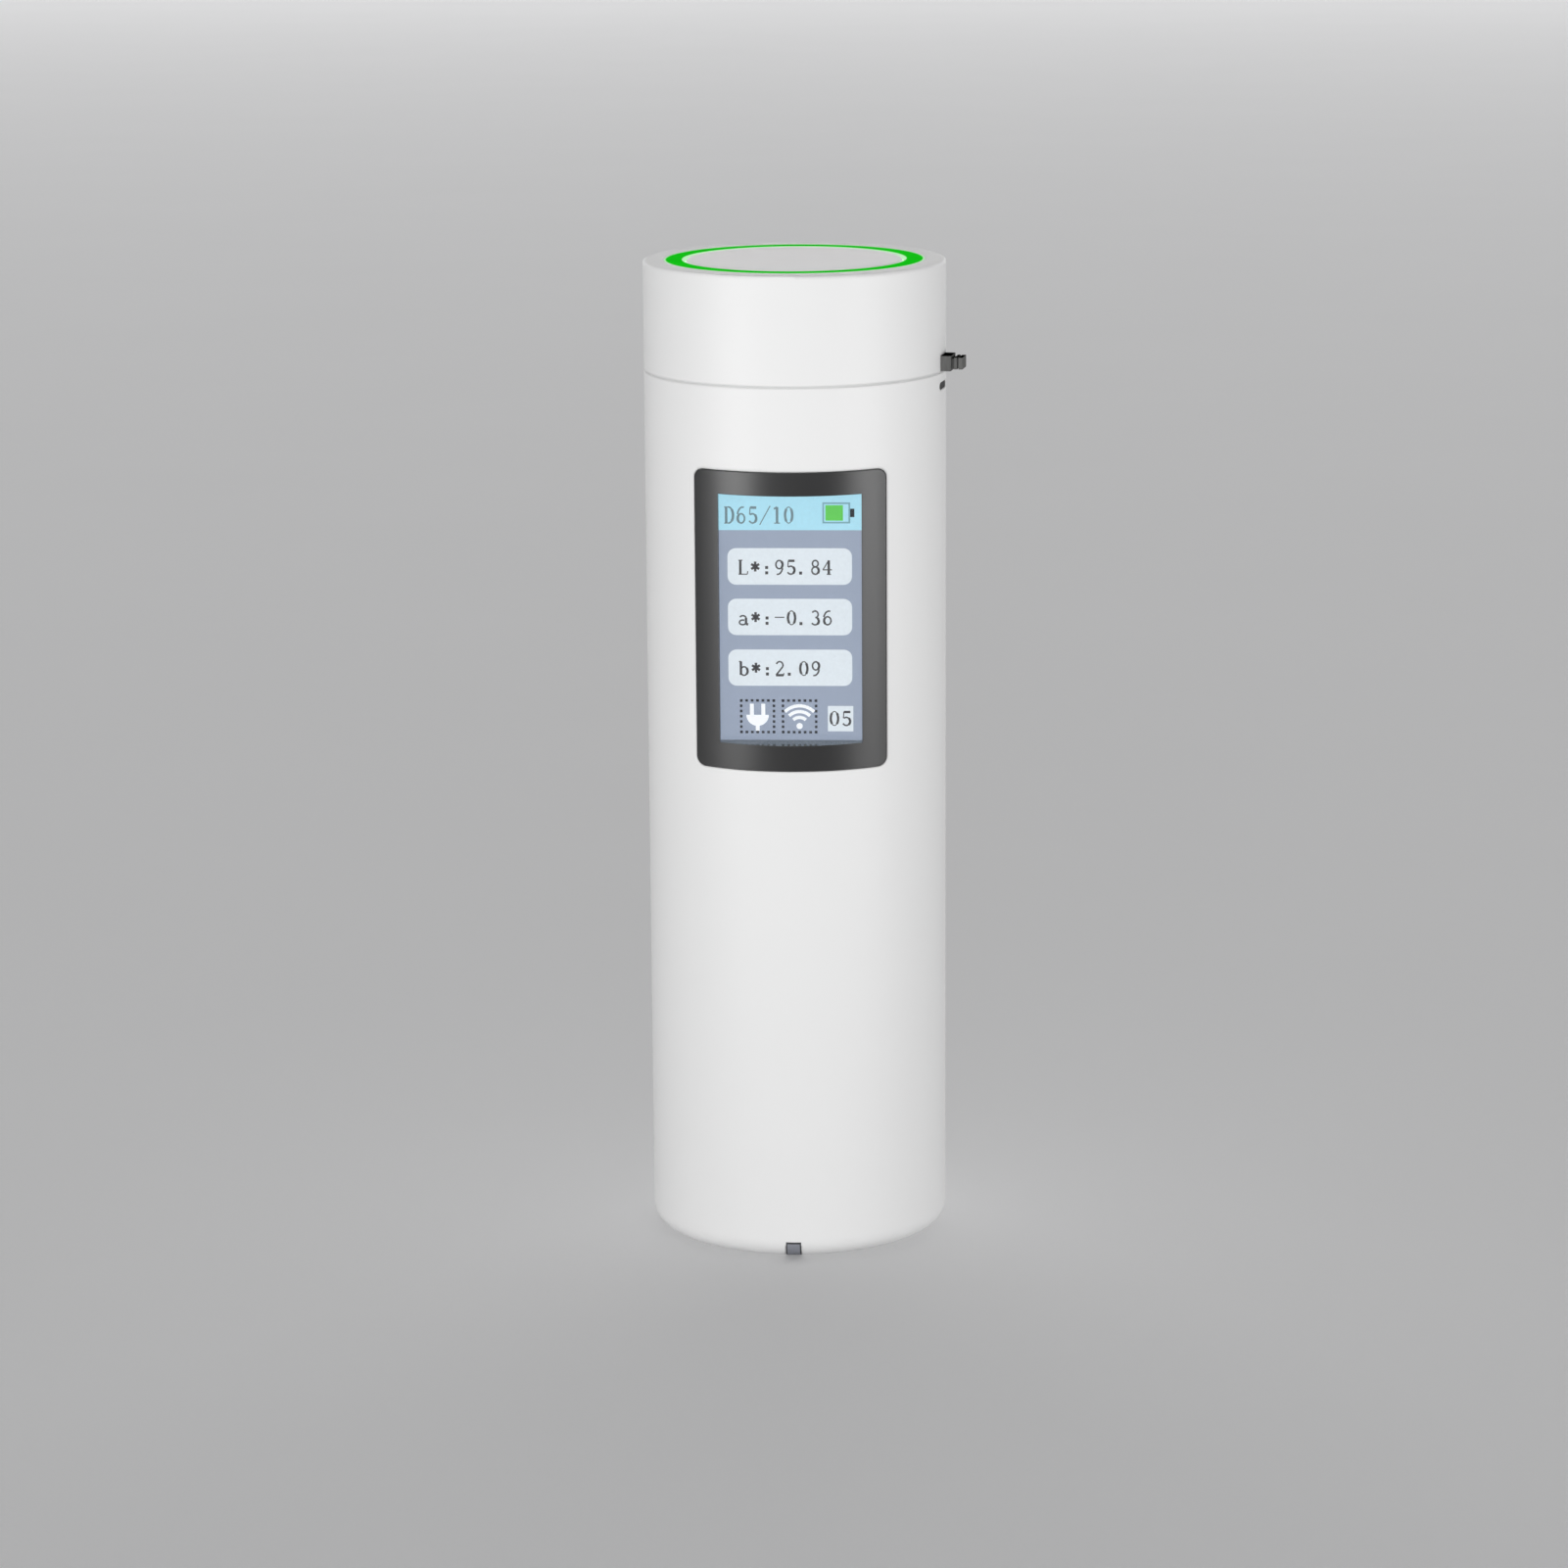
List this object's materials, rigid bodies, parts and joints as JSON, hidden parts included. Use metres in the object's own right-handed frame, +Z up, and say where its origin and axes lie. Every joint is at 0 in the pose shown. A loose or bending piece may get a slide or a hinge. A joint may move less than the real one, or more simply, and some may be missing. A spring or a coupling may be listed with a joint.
{
  "type": "color reader",
  "caption": "Slim upright hand-held colour reader with a curved-frame display, a ring-lit measure button on top and a measuring port in the base.",
  "frame": {"origin": "centre of the flat base, on the case's axis", "axes": "+Z up along the case, the display faces -Y, +X is to the viewer's right, towards the lanyard stud"},
  "size_m": [0.0331, 0.0312, 0.102],
  "materials": {
    "shell_white": "white satin-gloss moulded plastic",
    "mark_grey": "dark grey insert",
    "stud_black": "black moulded plastic",
    "ring_green": "green translucent light guide, lit",
    "button_grey": "light grey satin plastic with a pale edge",
    "bezel_black": "dark grey satin frame",
    "lens_clear": "clear cover, slightly reflective",
    "display_glass": "lit colour display",
    "frame_black": "black moulded inner plastic",
    "plate_black": "black base plate",
    "sphere_white": "diffuse white lining plastic",
    "circuit_green": "green solder mask",
    "chip_black": "moulded chip package",
    "module_metal": "stamped metal",
    "screw_steel": "zinc-plated steel",
    "tab_nickel": "nickel strip",
    "lamp_white": "lamp package with a pale yellow dome",
    "plunger_plastic": "off-white plastic",
    "boot_rubber": "soft silicone and foam",
    "flex_amber": "amber ribbon",
    "cell_wrap": "shrink-wrapped cell"
  },
  "bodies": {
    "case": {"body_shell": "shell_white", "index_mark": "mark_grey", "head_shell": "shell_white", "lanyard_stud": "stud_black", "light_ring": "ring_green", "head_frame": "frame_black", "switch_board": "circuit_green", "head_screws": "screw_steel", "ring_leds": "lamp_white", "tact_switch": "frame_black", "button_boot": "boot_rubber", "display_bezel": "bezel_black", "display_lens": "lens_clear", "display_panel": "display_glass", "display_cushion": "boot_rubber", "display_flex": "flex_amber", "port_plate": "plate_black", "port_screws": "screw_steel", "sphere_lower": "sphere_white", "sphere_upper": "sphere_white", "flange_screws": "screw_steel", "illumination_board": "circuit_green", "illumination_leds": "lamp_white", "sensor_tube": "frame_black", "focus_lens": "lens_clear", "sensor_board": "circuit_green", "spectral_sensor": "chip_black", "chassis": "frame_black", "main_board": "circuit_green", "board_screws": "screw_steel", "board_chips": "chip_black", "wireless_module": "module_metal", "display_connector": "plunger_plastic", "battery_cell": "cell_wrap", "battery_tabs": "tab_nickel", "usb_board": "circuit_green", "usb_screws": "screw_steel", "usb_socket": "module_metal"},
    "button": {"measure_button": "button_grey"},
    "plunger": {"switch_plunger": "plunger_plastic"}
  },
  "joints": [
    {"name": "button_press", "type": "slide", "parent": "case", "child": "button", "axis": [0, 0, -1], "range_m": [0, 0.0006], "stiffness_N_per_m": 3000, "springref_m": -0.0002, "deforming": ["button_boot"]},
    {"name": "plunger_press", "type": "slide", "parent": "case", "child": "plunger", "axis": [0, 0, -1], "range_m": [0, 0.0006]}
  ],
  "couplings": [
    {"joint": "plunger_press", "follows": "button_press", "ratio": 1}
  ]
}
